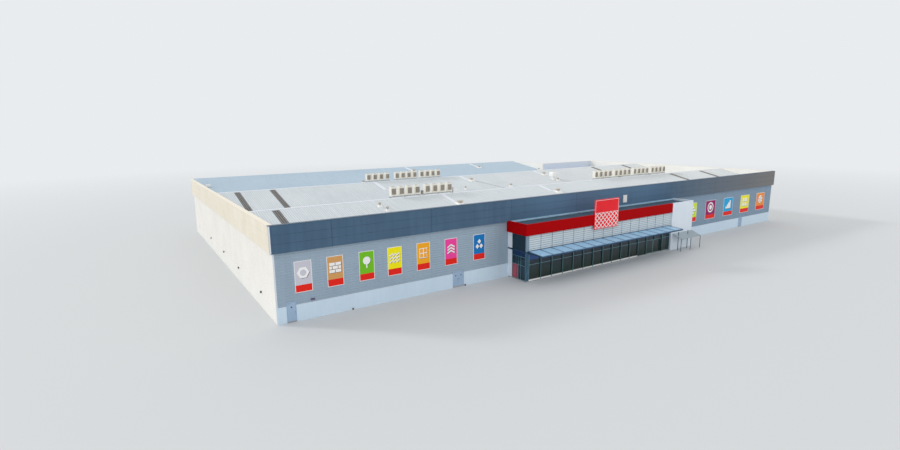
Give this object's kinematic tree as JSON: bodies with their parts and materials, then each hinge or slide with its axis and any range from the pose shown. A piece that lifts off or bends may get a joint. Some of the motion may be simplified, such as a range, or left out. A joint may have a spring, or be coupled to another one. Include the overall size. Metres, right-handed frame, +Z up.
{
  "type": "home improvement store building, 1:10 scale model",
  "caption": "Scale model of a large single-storey retail hall with a gabled sheet roof behind parapets, a glazed entrance box with a canopy, and opening doors.",
  "frame": {"origin": "on the ground under the middle of the hall floor", "axes": "+X along the entrance front from left to right as seen from outside, +Y from the entrance front to the back, +Z up"},
  "size_m": [11.824, 7.748, 1.368],
  "materials": {
    "floor_concrete": "power-floated",
    "grey_cladding": "satin",
    "pale_cladding": "satin",
    "white_plinth": "satin",
    "slate_fascia": "satin",
    "side_fascia": "satin",
    "coping_steel": "satin",
    "roof_sheet": "satin",
    "roof_trim": "satin",
    "gutter_steel": "galvanised",
    "roof_light_sheet": "translucent",
    "frame_steel": "primed",
    "vent_white": "satin",
    "vent_metal": "weathered galvanised",
    "unit_white": "satin",
    "door_grey": "satin",
    "band_red": "gloss",
    "panel_white": "satin",
    "block_white": "painted render",
    "post_grey": "satin",
    "deck_grey": "membrane",
    "frame_aluminium": "anodised",
    "clear_glass": "clear",
    "canopy_pane": "tinted",
    "canopy_steel": "satin",
    "side_colours": "satin",
    "poster_print": "printed",
    "sign_red": "gloss",
    "shelter_sheet": "translucent",
    "shelter_steel": "satin"
  },
  "bodies": {
    "building": {"floor_main": "floor_concrete", "floor_extensions": "floor_concrete", "front_wall": "grey_cladding", "front_lintels": "grey_cladding", "side_walls": "pale_cladding", "back_walls": "pale_cladding", "front_plinth": "white_plinth", "other_plinths": "white_plinth", "storefront_sill": "white_plinth", "front_fascia": "slate_fascia", "other_fascias": "side_fascia", "parapet_copings": "coping_steel", "roof_decks": "roof_sheet", "roof_flashings": "roof_trim", "roof_gutters": "gutter_steel", "unit_platforms": "gutter_steel", "roof_lights": "roof_light_sheet", "steel_columns": "frame_steel", "roof_rafters": "frame_steel", "vent_curbs": "vent_white", "vent_cowls": "vent_metal", "air_units": "unit_white", "service_box": "unit_white", "door_jambs": "door_grey", "door_heads": "door_grey", "red_band": "band_red", "white_panels": "panel_white", "block_front_wall": "block_white", "entrance_side_walls": "block_white", "corner_post": "post_grey", "entrance_deck": "deck_grey", "entrance_frames": "frame_aluminium", "entrance_door_gear": "frame_aluminium", "entrance_glass": "clear_glass", "canopy_glass": "canopy_pane", "canopy_brackets": "canopy_steel", "canopy_beams": "canopy_steel", "side_panels": "side_colours", "poster_boards": "poster_print", "sign_board": "sign_red", "shelter_roof": "shelter_sheet", "shelter_posts": "shelter_steel"},
    "door_1": {"door_1_leaf": "door_grey"},
    "door_2_left": {"door_2_left_leaf": "door_grey"},
    "door_2_right": {"door_2_right_leaf": "door_grey"},
    "door_3": {"door_3_leaf": "door_grey"},
    "entrance_left": {"entrance_left_leaf": "frame_aluminium", "entrance_left_pane": "clear_glass"},
    "entrance_right": {"entrance_right_leaf": "frame_aluminium", "entrance_right_pane": "clear_glass"}
  },
  "joints": [
    {"name": "door_1_hinge", "type": "hinge", "parent": "building", "child": "door_1", "pos_m": [-5.7585, -3.5026, 0], "axis": [0, 0, -1], "range_deg": [0, 100]},
    {"name": "door_2_left_hinge", "type": "hinge", "parent": "building", "child": "door_2_left", "pos_m": [-3.3835, -3.5026, 0], "axis": [0, 0, -1], "range_deg": [0, 100]},
    {"name": "door_2_right_hinge", "type": "hinge", "parent": "building", "child": "door_2_right", "pos_m": [-3.2025, -3.5026, 0], "axis": [0, 0, 1], "range_deg": [0, 100]},
    {"name": "door_3_hinge", "type": "hinge", "parent": "building", "child": "door_3", "pos_m": [4.4685, -3.5026, 0], "axis": [0, 0, -1], "range_deg": [0, 100]},
    {"name": "entrance_left_slide", "type": "slide", "parent": "building", "child": "entrance_left", "axis": [-1, 0, 0], "range_m": [0, 0.215]},
    {"name": "entrance_right_slide", "type": "slide", "parent": "building", "child": "entrance_right", "axis": [1, 0, 0], "range_m": [0, 0.215]}
  ],
  "couplings": [
    {"joint": "entrance_right_slide", "follows": "entrance_left_slide", "ratio": 1}
  ]
}
